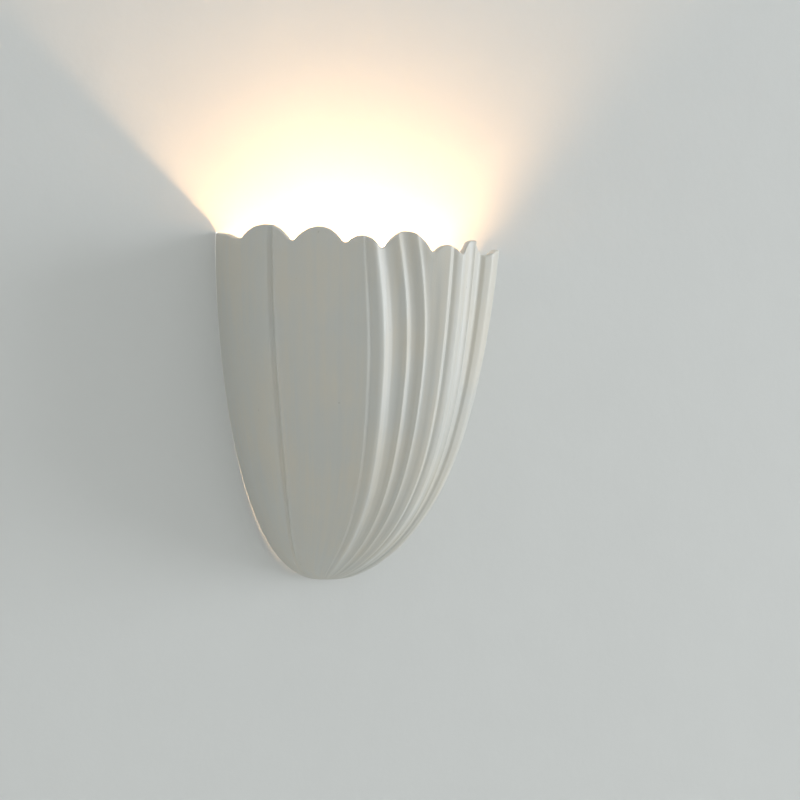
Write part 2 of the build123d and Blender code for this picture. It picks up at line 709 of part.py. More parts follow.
with BuildPart() as earth_washer:
    with BuildSketch(facing_room(earth_x, tongue_front - ring_thick, earth_level)):
        Circle(ring_radius - tooth_root)
        with PolarLocations(ring_radius - tooth_root, washer_teeth):
            Rectangle(tooth_width, tooth_out)
        Circle(m4_radius + running, mode=Mode.SUBTRACT)
    extrude(amount=ring_thick)
save(earth_washer, "earth_washer")

placed("earth_screw", m4_screw, [facing_room(earth_x, tongue_front - 2 * ring_thick, earth_level)])
placed("earth_nut", m4_hex, [facing_wall(earth_x, -joggle, earth_level)])


# ---- leads ----
def lead(name, points):
    """Insulated lead: straight runs joined by arcs as large as the runs allow."""
    points = [Vector(*p) for p in points]
    runs = [b - a for a, b in zip(points, points[1:])]
    radii = []
    for before, after in zip(runs, runs[1:]):
        half_turn = radians(before.get_angle(after)) / 2
        radii.append(0.45 * min(before.length, after.length) / tan(half_turn))
    with BuildPart() as wire:
        with BuildLine() as route:
            FilletPolyline(*points, radius=radii)
        with BuildSketch(Plane(origin=points[0], z_dir=runs[0])):
            Circle(lead_radius)
        sweep()
    length = route.wires()[0].length
    true_volume = length * pi * lead_radius**2
    print(name, "length", round(length, 1), "radii", [round(r, 1) for r in radii],
          "volume ratio", round(wire.part.volume / true_volume, 4))
    save(wire, name)


half_pins = pin_spacing / 2
tube_end = block_side - lead_end
for name, x, drop, bends, level in (
    ("live_lead", half_pins, live_drop, live_bends, pole_levels[1]),
    ("neutral_lead", -half_pins, neutral_drop, neutral_bends, pole_levels[2]),
):
    lead(name, [(x, -lamp_out, contact_bottom), (x, -lamp_out, contact_bottom - drop)]
         + [(block_side + right, pole_y - out, level + up) for right, out, up in bends]
         + [(tube_end, pole_y, level)])
barrel_mouth = barrel_top - barrel_length
lead("earth_lead", [
    (tube_end, pole_y, pole_levels[0]), (block_side + earth_swing, pole_y, pole_levels[0]),
    (earth_x, barrel_y, barrel_mouth - earth_rise), (earth_x, barrel_y, barrel_top - barrel_stop),
])
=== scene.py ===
import math

import bmesh
import bpy
from mathutils import Matrix, Vector


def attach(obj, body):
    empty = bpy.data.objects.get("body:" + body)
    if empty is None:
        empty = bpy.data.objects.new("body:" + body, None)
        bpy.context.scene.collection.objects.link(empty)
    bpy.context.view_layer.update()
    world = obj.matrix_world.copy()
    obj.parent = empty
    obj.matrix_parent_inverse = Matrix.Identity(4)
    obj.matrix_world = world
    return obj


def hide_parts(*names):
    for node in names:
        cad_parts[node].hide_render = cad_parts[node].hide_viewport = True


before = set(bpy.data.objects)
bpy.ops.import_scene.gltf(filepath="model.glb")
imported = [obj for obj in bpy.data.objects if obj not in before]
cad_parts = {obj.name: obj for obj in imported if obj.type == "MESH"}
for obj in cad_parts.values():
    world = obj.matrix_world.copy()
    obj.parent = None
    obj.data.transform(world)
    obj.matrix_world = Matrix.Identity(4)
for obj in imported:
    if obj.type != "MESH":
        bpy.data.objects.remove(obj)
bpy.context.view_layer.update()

scene = bpy.context.scene
print("frame loaded:", len(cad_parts), "nodes")


def socketOf(value):
    # a wire's socket, a node's first output, or the value itself
    if isinstance(value, Wire):
        return value.socket
    return value.outputs[0] if isinstance(value, bpy.types.Node) else value


# A wire is a socket that can be added, multiplied and so on, so formulas read as formulas.
class Wire:
    def __init__(self, tree, source):
        self.tree, self.socket = tree, socketOf(source)

    def do(self, operation, *others):
        values = dict(enumerate((self, *others)))
        return Wire(self.tree, put(self.tree, "ShaderNodeMath", values, operation=operation))

    def __add__(self, other): return self.do("ADD", other)
    def __sub__(self, other): return self.do("SUBTRACT", other)
    def __rsub__(self, other): return (self * -1).do("ADD", other)
    def __mul__(self, other): return self.do("MULTIPLY", other)
    def __truediv__(self, other): return self.do("DIVIDE", other)
    def __pow__(self, other): return self.do("POWER", other)


def link(tree, value, socket):
    value = socketOf(value)
    if isinstance(value, bpy.types.NodeSocket):
        tree.links.new(value, socket)
    else:
        socket.default_value = value


def put(tree, kind, links=None, **settings):
    made = tree.nodes.new(kind)
    for key, value in settings.items():
        setattr(made, key, value)
    for key, value in (links or {}).items():
        link(tree, value, made.inputs[key])
    return made


def show(name, data):
    shown = bpy.data.objects.new(name, data)
    scene.collection.objects.link(shown)
    return shown


def sockets(sort, values):
    return {name: (sort, value) for name, value in values.items()}


def newTree(name, kind, inputs, outputs):
    tree = bpy.data.node_groups.new(name, kind + "NodeTree")
    for label, (sort, value) in inputs.items():
        socket = tree.interface.new_socket(name=label, in_out="INPUT", socket_type="NodeSocket" + sort)
        if value is not None:
            socket.default_value = value
    for label, sort in outputs.items():
        tree.interface.new_socket(name=label, in_out="OUTPUT", socket_type="NodeSocket" + sort)
    given = tree.nodes.new("NodeGroupInput")
    result = tree.nodes.new("NodeGroupOutput")
    return tree, {label: Wire(tree, given.outputs[label]) for label in inputs}, result


def give(tree, result, **values):
    for name, value in values.items():
        link(tree, value, result.inputs[name])
    return tree


def vectorMath(tree, operation, *values):
    return put(tree, "ShaderNodeVectorMath", dict(enumerate(values)), operation=operation).outputs[0]


def scaled(tree, vector, factor):
    return put(tree, "ShaderNodeVectorMath", {0: vector, "Scale": factor}, operation="SCALE").outputs[0]


def combine(tree, x=0.0, y=0.0, z=0.0):
    return put(tree, "ShaderNodeCombineXYZ", {0: x, 1: y, 2: z})


def axesOf(tree, vector):
    return [Wire(tree, axis) for axis in put(tree, "ShaderNodeSeparateXYZ", {0: vector}).outputs]


def here(tree):
    return put(tree, "GeometryNodeInputPosition")


def mapRange(wire, fromMin, fromMax, toMin=0.0, toMax=1.0, smooth=False):
    return Wire(wire.tree, put(wire.tree, "ShaderNodeMapRange", {
        "Value": wire, "From Min": fromMin, "From Max": fromMax, "To Min": toMin, "To Max": toMax,
    }, interpolation_type="SMOOTHSTEP" if smooth else "LINEAR"))


def noise(tree, place, scale, detail, roughness=0.5):
    return Wire(tree, put(tree, "ShaderNodeTexNoise", {
        "Vector": place, "Scale": scale, "Detail": detail, "Roughness": roughness}))


def mixColour(share, a, b):
    # a and b are sockets, or colours of three numbers
    ends = [(*end, 1) if isinstance(end, tuple) else end for end in (a, b)]
    return put(share.tree, "ShaderNodeMix", {0: share, 6: ends[0], 7: ends[1]}, data_type="RGBA").outputs[2]


def between(a, b, share):
    return put(share.tree, "ShaderNodeMix", {0: share, 4: a, 5: b}, data_type="VECTOR").outputs[1]


def floatCurve(wire, span, heights, points):
    # points are (place, height) and a handle where it isn't automatic; span and heights are their limits
    (first, last), (low, high) = span, heights
    made = put(wire.tree, "ShaderNodeFloatCurve", {"Value": (wire - first) / (last - first)})
    curve = made.mapping.curves[0]
    while len(curve.points) < len(points):
        curve.points.new(0.5, 0.5)
    for point, (place, height, *handle) in zip(curve.points, sorted(points)):
        point.location = ((place - first) / (last - first), (height - low) / (high - low))
        point.handle_type = handle[0] if handle else "AUTO"
    made.mapping.extend = "HORIZONTAL"
    made.mapping.update()
    return Wire(wire.tree, made) * (high - low) + low


def unitGrid(tree, columns, rows):
    # a grid, and how far across and along its points are, 0 to 1
    sizes = {"Size X": 1.0, "Size Y": 1.0, "Vertices X": columns, "Vertices Y": rows}
    across, along = axesOf(tree, here(tree))[:2]
    return put(tree, "GeometryNodeMeshGrid", sizes), across + 0.5, along + 0.5


def rod(tree, sides, radius, length):
    sizes = {"Vertices": sides, "Radius": radius, "Depth": length}
    return put(tree, "GeometryNodeMeshCylinder", sizes, fill_type="NGON")


def swept(tree, curve, profile):
    links = {"Curve": curve, "Profile Curve": profile, "Fill Caps": True}
    return put(tree, "GeometryNodeCurveToMesh", links)


def transformed(tree, geometry, **values):
    return put(tree, "GeometryNodeTransform", {"Geometry": geometry, **values})


def kept(tree, geometry, name, value, sort="FLOAT"):
    links = {"Geometry": geometry, "Name": name, "Value": value}
    return put(tree, "GeometryNodeStoreNamedAttribute", links, data_type=sort, domain="POINT")


def moved(tree, geometry, **where):
    return put(tree, "GeometryNodeSetPosition", {"Geometry": geometry, **where})


def flipped(tree, geometry):
    return put(tree, "GeometryNodeFlipFaces", {0: geometry})


def merged(tree, geometry, distance):
    return put(tree, "GeometryNodeMergeByDistance", {"Geometry": geometry, "Distance": distance})


def shadedSmooth(tree, geometry):
    return put(tree, "GeometryNodeSetShadeSmooth", {0: geometry, "Shade Smooth": True})


def join(tree, parts):
    joined = put(tree, "GeometryNodeJoinGeometry")
    for part in parts:
        link(tree, part, joined.inputs[0])
    return joined


def boolean(tree, operation, first, second):
    made = put(tree, "GeometryNodeMeshBoolean", operation=operation, solver="EXACT")
    link(tree, first, made.inputs[0 if operation == "DIFFERENCE" else 1])
    link(tree, second, made.inputs[1])
    return made


def pieceTree(name, inputs):
    inputs = {**inputs, "Finish": ("Material", None)}
    return newTree(name, "Geometry", inputs, {"Geometry": "Geometry"})


def endTree(tree, geometry, finish, result):
    real = put(tree, "GeometryNodeRealizeInstances", {0: geometry})
    painted = put(tree, "GeometryNodeSetMaterial", {"Geometry": real, "Material": finish})
    return give(tree, result, Geometry=painted)


def grow(name, tree, values, source=None):
    # runs a Geometry Nodes tree on an empty mesh, or on a curve, and keeps the result as a mesh
    holder = show(name + "Source", source or bpy.data.meshes.new(name + "Seed"))
    modifier = holder.modifiers.new(name, "NODES")
    modifier.node_group = tree
    for item in tree.interface.items_tree:
        if item.in_out == "INPUT" and item.name in values:
            modifier[item.identifier] = values[item.name]
    bpy.context.view_layer.update()
    mesh = bpy.data.meshes.new_from_object(holder.evaluated_get(bpy.context.evaluated_depsgraph_get()))
    mesh.name = name
    holder.modifiers.clear()
    bpy.data.objects.remove(holder)
    return show(name, mesh)


def reportMesh(piece):
    edges = bmesh.new()
    edges.from_mesh(piece.data)
    openEdges = sum(1 for e in edges.edges if not e.is_manifold)
    volume = edges.calc_volume(signed=True) * 1e6
    print(f"{piece.name}: {len(piece.data.polygons)} faces, {openEdges} open edges, {volume:.3f} cm3")
    edges.free()


replaced = set()


def standFor(piece, body, node):
    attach(piece, body)
    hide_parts(node)
    replaced.add(node)
    reportMesh(piece)


cameraValues = dict(
    azimuth=-25.07, elevation=3.87, roll=4.19, distance=1.168, aim=(0.0502, 0.0, -0.0348), lens=67.19,
    reach=50.0,
)


def makeCamera(v):
    a, e, r = (math.radians(v[k]) for k in ("azimuth", "elevation", "roll"))
    back = Vector((math.sin(a) * math.cos(e), -math.cos(a) * math.cos(e), math.sin(e)))
    right = Vector((math.cos(a), math.sin(a), 0))
    up = back.cross(right)
    sideways = right * math.cos(r) + up * math.sin(r)
    upwards = up * math.cos(r) - right * math.sin(r)
    data = bpy.data.cameras.new("camera")
    data.lens, data.clip_end = v["lens"], v["reach"]
    camera = show("camera", data)
    turn = Matrix((sideways, upwards, back)).transposed().to_4x4()
    camera.matrix_world = Matrix.Translation(Vector(v["aim"]) + back * v["distance"]) @ turn
    scene.camera = camera


makeCamera(cameraValues)
print("camera placed")

stageValues = dict(
    wallColour=(0.655, 0.667, 0.660), floorColour=(0.67, 0.67, 0.65), wallBehind=0.0001, floorLevel=-0.85,
    size=8.0, worldRight=0.66, worldLeft=0.80, worldTint=(0.975, 1.0, 0.985), mottle=0.02, trowel=0.0006,
    rough=0.85, speckle=(9.0, 6.0, 0.6), strokes=(22.0, 8.0, 0.55),
)
lampValues = {
    # direction from the object, distance, size, level (1 lights a facing white surface to white), colour
    "keyLamp": dict(
        direction=(0.92, -0.28, 0.13), distance=7.0, size=3.7, level=0.57, colour=(0.97, 1.0, 1.035)),
    "backLamp": dict(
        direction=(0.0, 1.0, 0.22), distance=2.6, size=0.8, level=0.7, colour=(1.0, 1.0, 1.0)),
}

# the bulb's light on the wall above the rim: it starts at the bulb's top, so the rim shapes it
washValues = dict(
    place=(0.004, -0.044, -0.012), towards=(-0.11, 0.20, 1.0), power=5.1, cone=105.0, blend=0.5,
    radius=0.008, colour=(1.0, 0.58, 0.27),
)


def startMaterial(name):
    material = bpy.data.materials.new(name)
    material.use_nodes = True
    tree = material.node_tree
    tree.nodes.clear()
    return material, tree, put(tree, "ShaderNodeTexCoord").outputs["Object"]


def makeStage(v, name, colour, corners):
    # seen from its back it is clear, so views from behind or below show the object
    mesh = bpy.data.meshes.new(name)
    mesh.from_pydata(corners, [], [(0, 1, 2, 3)])
    plane = show(name, mesh)
    material, tree, place = startMaterial(name + "Paint")
    speckle, strokes = noise(tree, place, *v["speckle"]), noise(tree, place, *v["strokes"])
    light = mapRange(speckle, 0.0, 1.0, 1 - v["mottle"], 1 + v["mottle"])
    bump = put(tree, "ShaderNodeBump", {"Height": strokes, "Distance": v["trowel"]})
    paint = put(tree, "ShaderNodeBsdfPrincipled", {
        "Base Color": scaled(tree, colour, light), "Roughness": v["rough"], "Normal": bump})
    clear = put(tree, "ShaderNodeBsdfTransparent")
    face = put(tree, "ShaderNodeNewGeometry")
    path = put(tree, "ShaderNodeLightPath")
    fromBehind = Wire(tree, face.outputs["Backfacing"]) * Wire(tree, path.outputs["Is Camera Ray"])
    mixed = put(tree, "ShaderNodeMixShader", {0: fromBehind, 1: paint, 2: clear})
    put(tree, "ShaderNodeOutputMaterial", {"Surface": mixed})
    mesh.materials.append(material)
    return plane


def makeRoom(v):
    s, y, z = v["size"], v["wallBehind"], v["floorLevel"]
    wall = makeStage(v, "wall", v["wallColour"], [(-s, y, z), (s, y, z), (s, y, s), (-s, y, s)])
    wall.visible_shadow = False   # the lamp behind it lights the back of the object
    makeStage(v, "floor", v["floorColour"], [(-s, -s, z), (s, -s, z), (s, s, z), (-s, s, z)])
    world = bpy.data.worlds.new("room")
    scene.world = world
    world.use_nodes = True
    tree = world.node_tree
    tree.nodes.clear()
    sideways, depth = axesOf(tree, put(tree, "ShaderNodeTexCoord").outputs["Generated"])[:2]
    path = put(tree, "ShaderNodeLightPath")
    fromSides = mapRange(sideways, -1.0, 1.0, v["worldLeft"], v["worldRight"])
    light = put(tree, "ShaderNodeBackground", {
        "Color": (*v["worldTint"], 1), "Strength": fromSides * depth.do("LESS_THAN", 0.0)})
    white = put(tree, "ShaderNodeBackground", {"Color": (1, 1, 1, 1), "Strength": 1.0})
    mixed = put(tree, "ShaderNodeMixShader", {0: path.outputs["Is Camera Ray"], 1: light, 2: white})
    put(tree, "ShaderNodeOutputWorld", {"Surface": mixed})


def placeLamp(data, place, back):
    # back points away from what the lamp lights
    lamp = show(data.name, data)
    lamp.matrix_world = Matrix.Translation(place) @ back.to_track_quat("Z", "Y").to_matrix().to_4x4()
    lamp.visible_camera = False


def makeLamps(lamps):
    for name, v in lamps.items():
        data = bpy.data.lights.new(name, "AREA")
        data.shape, data.size, data.color = "DISK", v["size"], v["colour"]
        data.energy = v["level"] * math.pi**2 * v["distance"] ** 2
        direction = Vector(v["direction"]).normalized()
        placeLamp(data, direction * v["distance"], direction)


def makeWash(v):
    data = bpy.data.lights.new("wallWash", "SPOT")
    data.energy, data.color, data.shadow_soft_size = v["power"], v["colour"], v["radius"]
    data.spot_size, data.spot_blend = math.radians(v["cone"]), v["blend"]
    placeLamp(data, Vector(v["place"]), -Vector(v["towards"]))


makeRoom(stageValues)
makeLamps(lampValues)
makeWash(washValues)
scene.view_settings.view_transform = "Standard"
print("room and lamps made")


def groupTree(name, values, outputs, vectors=None):
    inputs = sockets("Vector", {"Vector": None, **(vectors or {})})
    return newTree(name, "Shader", {**inputs, **sockets("Float", values)}, outputs)


def spread(wire):
    # noise lies mostly between these two values, so this brings it to about 0 to 1
    return mapRange(wire, 0.3, 0.7)


# Shader groups that several finishes share.
def grainGroup():
    # fine speckle and broad mottling: both run about 0 to 1
    tree, w, result = groupTree("surfaceGrain", {"Fine Scale": 900.0, "Broad Scale": 40.0}, {
        "Fine": "Float", "Broad": "Float"})
    fine = noise(tree, w["Vector"], w["Fine Scale"], 3.0)
    broad = noise(tree, w["Vector"], w["Broad Scale"], 5.0, 0.6)
    return give(tree, result, Fine=spread(fine), Broad=spread(broad))


def wearGroup():
    # 1 on rubbed edges, broken up by noise; for meshes whose faces share their corners
    tree, w, result = groupTree("edgeWear", {"Scale": 90.0, "Start": 0.515, "Full": 0.56}, {
        "Mask": "Float"})
    edge = Wire(tree, put(tree, "ShaderNodeNewGeometry").outputs["Pointiness"])
    worn = mapRange(edge, w["Start"], w["Full"])
    patches = noise(tree, w["Vector"], w["Scale"], 4.0)
    return give(tree, result, Mask=worn * mapRange(patches, 0.42, 0.58))


def cornerGroup():
    # sharp corners catch light as if rounded; the mask is 1 on rubbed ones, broken up by noise
    tree, w, result = groupTree("rubbedCorners", {"Radius": 0.0005, "Scale": 260.0}, {
        "Mask": "Float", "Normal": "Vector"})
    rounded = put(tree, "ShaderNodeBevel", {"Radius": w["Radius"]}, samples=6)
    flat = put(tree, "ShaderNodeNewGeometry").outputs["Normal"]
    made = put(tree, "ShaderNodeVectorMath", {0: rounded, 1: flat}, operation="DOT_PRODUCT")
    facing = Wire(tree, made.outputs["Value"])
    patches = noise(tree, w["Vector"], w["Scale"], 4.0)
    worn = mapRange(facing, 0.97, 0.85) * mapRange(patches, 0.44, 0.60)
    return give(tree, result, Mask=worn, Normal=rounded)


def brushGroup():
    # long fine lines along one axis
    tree, w, result = groupTree("brushLines", {}, {"Lines": "Float"}, {"Stretch": (60.0, 1500.0, 1500.0)})
    lines = noise(tree, vectorMath(tree, "MULTIPLY", w["Vector"], w["Stretch"]), 1.0, 2.0)
    return give(tree, result, Lines=spread(lines))


def pinholeGroup():
    # scattered round pits: 1 at the bottom of a pit, 0 elsewhere
    tree, w, result = groupTree("castPinholes", {"Scale": 120.0, "Size": 0.10, "Share": 0.25}, {
        "Pit": "Float"})
    cells = put(tree, "ShaderNodeTexVoronoi", {
        "Vector": w["Vector"], "Scale": w["Scale"], "Randomness": 1.0})
    pit = mapRange(Wire(tree, cells.outputs["Distance"]), 0.0, w["Size"], 1.0, 0.0, smooth=True)
    chosen = axesOf(tree, cells.outputs["Color"])[0].do("LESS_THAN", w["Share"])
    return give(tree, result, Pit=pit * chosen)


grain, wear, corners = grainGroup(), wearGroup(), cornerGroup()
brush, pinholes = brushGroup(), pinholeGroup()


def useGroup(tree, group, place, values=None):
    # places a group and gives its outputs as wires
    used = put(tree, "ShaderNodeGroup", {"Vector": place, **(values or {})}, node_tree=group)
    return [Wire(tree, output) for output in used.outputs]


def grainAt(tree, place, fine, broad):
    return useGroup(tree, grain, place, {"Fine Scale": fine, "Broad Scale": broad})


def pitsAt(tree, place, scale, size, share):
    return useGroup(tree, pinholes, place, {"Scale": scale, "Size": size, "Share": share})[0]


def linesAt(tree, place, stretch):
    return useGroup(tree, brush, place, {"Stretch": stretch})[0]


def closeMaterial(material, colour, rough, height, bump, more=None, corner=None):
    # corner is the normal that the bump starts from, where corners are rounded
    tree = material.node_tree
    rounded = {"Normal": corner} if corner else {}
    bumped = put(tree, "ShaderNodeBump", {"Height": height, "Distance": bump, **rounded})
    shader = put(tree, "ShaderNodeBsdfPrincipled", {
        "Base Color": colour, "Roughness": rough, "Normal": bumped, **(more or {})})
    put(tree, "ShaderNodeOutputMaterial", {"Surface": shader})
    return material


softDepth = 0.001
# colour, second colour of the mottling, worn colour, roughness and its range, bump in micrometres, grain
# scales; some are metal, have a coat, are a little translucent, have drawn lines, pits or chipped paint
finishes = {
    "brass_insert": dict(
        colour=(0.62, 0.42, 0.16), second=(0.52, 0.33, 0.12), worn=(0.80, 0.62, 0.32), metal=1.0,
        rough=0.34, range=0.10, bump=30, fine=1800, broad=160, lines=(1500, 90, 1500)),
    "zinc_screw": dict(
        colour=(0.58, 0.60, 0.62), second=(0.50, 0.53, 0.58), worn=(0.78, 0.78, 0.77), metal=1.0,
        rough=0.36, range=0.12, bump=20, fine=2600, broad=240),
    "nylon": dict(
        colour=(0.80, 0.77, 0.70), second=(0.74, 0.71, 0.63), worn=(0.86, 0.84, 0.78),
        rough=0.48, range=0.10, bump=30, fine=1600, broad=200, soft=0.15),
    "plate_paint": dict(
        colour=(0.76, 0.76, 0.735), second=(0.71, 0.715, 0.695), worn=(0.46, 0.46, 0.46),
        rough=0.42, range=0.12, bump=60, fine=700, broad=26, chips=True),
    "zinc_sheet": dict(
        colour=(0.56, 0.58, 0.60), second=(0.46, 0.49, 0.53), worn=(0.74, 0.74, 0.73), metal=1.0,
        rough=0.38, range=0.16, bump=30, fine=1500, broad=70, lines=(60, 1500, 1500)),
    "holder_ceramic": dict(
        colour=(0.78, 0.755, 0.68), second=(0.73, 0.70, 0.62), worn=(0.84, 0.82, 0.76),
        rough=0.30, range=0.10, bump=50, fine=900, broad=60, coat=0.35, pits=(420, 0.10, 0.20)),
    "block_plastic": dict(
        colour=(0.78, 0.78, 0.75), second=(0.73, 0.73, 0.69), worn=(0.85, 0.85, 0.83),
        rough=0.45, range=0.10, bump=40, fine=1300, broad=90, soft=0.10),
    "grommet_rubber": dict(
        colour=(0.022, 0.022, 0.023), second=(0.034, 0.033, 0.032), worn=(0.07, 0.068, 0.065),
        rough=0.62, range=0.14, bump=60, fine=1100, broad=120),
    "tinned_brass": dict(
        colour=(0.60, 0.59, 0.56), second=(0.52, 0.51, 0.47), worn=(0.62, 0.50, 0.27), metal=1.0,
        rough=0.33, range=0.14, bump=20, fine=2000, broad=200),
    "bulb_plastic": dict(
        colour=(0.80, 0.80, 0.78), second=(0.76, 0.76, 0.73), worn=(0.88, 0.88, 0.87),
        rough=0.28, range=0.08, bump=20, fine=1500, broad=120, coat=0.2),
    "steel_wire": dict(
        colour=(0.60, 0.60, 0.60), second=(0.52, 0.52, 0.53), worn=(0.78, 0.78, 0.78), metal=1.0,
        rough=0.24, range=0.10, bump=10, fine=3000, broad=300, lines=(1500, 1500, 80)),
}


def makeFinish(name, v):
    material, tree, place = startMaterial(name)
    fine, broad = grainAt(tree, place, v["fine"], v["broad"])
    worn, corner = useGroup(tree, corners, place)
    chipped = "chips" in v
    colour = mixColour(broad, v["colour"], v["second"])
    colour = mixColour(worn * (0.9 if chipped else 0.6), colour, v["worn"])
    height = fine * 0.6 + broad * 0.4
    rough = broad * (v["range"] * 2) + (v["rough"] - v["range"]) - worn * (v["range"] * 0.5)
    if "lines" in v:
        lines = linesAt(tree, place, v["lines"])
        height = height * 0.4 + lines
        rough = rough + (lines - 0.5) * v["range"]
        colour = mixColour(lines * 0.25, colour, v["second"])
    if "pits" in v:
        pit = pitsAt(tree, place, *v["pits"])
        height = height - pit * 2
        # a darker copy of the colour in the pits is painted shade in their hollows
        colour = mixColour(pit * 0.6, colour, tuple(c * 0.55 for c in v["second"]))
    return closeMaterial(material, colour, rough, height, v["bump"] * 1e-6, {
        # bare steel shows where the paint is rubbed off
        "Metallic": worn * 0.9 if chipped else v.get("metal", 0.0), "Coat Weight": v.get("coat", 0.0),
        "Subsurface Weight": v.get("soft", 0.0), "Subsurface Scale": softDepth}, corner)


materials = {slot: makeFinish(slot + "Finish", v) for slot, v in finishes.items()}
print("finishes made:", len(materials))

# the shell's values: its side and front outline, then what places one point, then the whole cast
outlineValues = {
    "Half Width": 0.1085, "Depth": 0.1009, "Top": 0.092, "Height": 0.2684, "Belly": 0.15,
    "Side Fall": 1.51, "Side Round": 2.45, "Front Fall": 4.4, "Front Round": 1.0,
}
pointValues = {
    **outlineValues, "Squareness": 2.24, "Gap Bottom": 0.0014, "Gap Top": 0.0001, "Touch Level": -0.020,
    "Lean": 6.5, "Lean Drop": 0.10,
    "Lean Start": -26.0, "Lean Full": -8.0, "Lean Fade": 7.0, "Lean End": 17.0,
}
shellValues = {
    **pointValues, "Wall": 0.005, "Tip Wall": 0.009, "Inner Flutes": 0.7, "Back Chamfer": 0.0044,
    "Back Lip": 0.16, "Rim Level": 0.080, "Rim Round": 0.0016, "Rim Fullness": 0.6,
    "Unevenness": 0.0002, "Uneven Scale": 26.0, "Even Until": -0.001, "Uneven From": -0.006,
    "Weld": 0.000002, "Crowding": 1.6,
    "Lug Face": 0.0833, "Lug Out": 0.016, "Lug Depth": 0.024, "Lug Height": 0.022, "Lug Corner": 0.004,
    "Lug End": 0.09545, "Lug Slant": 0.159, "Lug Band": 0.0005,
    "Insert Hole": 0.00355, "Insert Depth": 0.0085,
}
shellCounts = {"Columns": 421, "Rows": 92, "Rim Steps": 9, "Corner Steps": 6, "Hole Sides": 40, "Seed": 4}
# flute heights in mm by angle: sharp edges are marked, the rest are humps
flutesMeet, fluteHeights, sharp = -26, (-0.006, 0.006), "VECTOR"
sideFlutes = [
    (-90, 0.1), (-82, 0.0), (-68, 0.3), (-58, 1.3), (-53.8, 1.1, sharp), (-52.4, -1.5, sharp),
    (-50.8, 2.3, sharp), (-48.2, 0.6), (-42, 0.6), (-36, 0.4), (-31, 0.0), (-26, 0.0, sharp),
]
frontFlutes = [
    (-26, 0.0, sharp), (-22, 0.9), (-18, 1.9), (-14.7, 3.3, sharp), (-13.2, 1.7, sharp), (-11, 3.3),
    (-9.2, 4.1), (-7.4, 2.9), (-5, 0.7), (-2.6, -0.3), (0, 0.7), (1.9, 1.9, sharp), (3.5, 0.1),
    (5.2, -0.5), (7.4, 1.0), (9.4, 2.8, sharp), (11.0, 1.6), (12.4, 1.9), (15, 3.5), (17.4, 4.6, sharp),
    (19.5, 2.2, sharp), (21.6, 3.9), (23.6, 4.4, sharp), (27, 2.0), (29.8, 0.5), (32.2, 1.7, sharp),
    (35, -2.2), (38, -4.7), (40.6, -5.0), (43.4, -1.6), (46.2, 2.2, sharp), (48.5, 2.9), (52, 3.3),
    (57, 2.9), (63, 1.7), (72, 0.7), (80, 0.6), (90, 0.1),
]
# rim: notches and lobe tops as (angle, height over the rim level in mm)
rimHeights = (-0.004, 0.016)
rimNotches = [
    (-90, 3.0), (-69, -0.8), (-44, -0.6), (-23.9, 0.6), (-10.3, -1.2), (10.8, -0.9), (23.3, -0.2),
    (43.5, 0.6), (69.5, 0.0), (90, 2.7),
]
rimTops = [
    (-80, 1.9), (-54, 9.4), (-33, 10.2), (-17.3, 6.2), (0, 11.8), (17, 4.8), (32, 10.4), (54, 6.0),
    (80, 1.9),
]
rimShoulders = [(0.25, 0.93), (0.55, 0.66), (0.82, 0.24)]   # across and up, as shares of a lobe
roundLobes = 70   # lobes nearer the front than this angle have shoulders


def rimShape():
    points = rimNotches + rimTops
    for left, right, (angle, height) in zip(rimNotches, rimNotches[1:], rimTops):
        if abs(angle) < roundLobes:
            for notch in (left, right):
                for out, up in rimShoulders:
                    across = angle + (notch[0] - angle) * out
                    points.append((across, notch[1] + (height - notch[1]) * up))
    return points


def inMetres(points):
    return [(angle, height / 1000, *handle) for angle, height, *handle in points]


def clamped(wire):
    return wire.do("MAXIMUM", 0.0)


def outlineGroup():
    inputs = sockets("Float", {**outlineValues, "Level": 0.0, "Inset": 0.0, "Floor": 0.0})
    tree, w, result = newTree("shellOutline", "Geometry", inputs, {"Width": "Float", "Out": "Float"})
    # the tiny factor brings the tip to exactly 1, so it closes in one point
    fall = (w["Top"] - w["Level"]) / (w["Height"] - w["Floor"]) * 1.000002
    fall = clamped(fall).do("MINIMUM", 1.0)

    def rounded(power, roundness):
        return (1 - fall ** power) ** (roundness ** -1)

    width = (w["Half Width"] - w["Inset"]) * rounded(w["Side Fall"], w["Side Round"])
    out = (w["Depth"] - w["Inset"]) * (w["Belly"] * fall + 1) * rounded(w["Front Fall"], w["Front Round"])
    return give(tree, result, Width=width, Out=out)


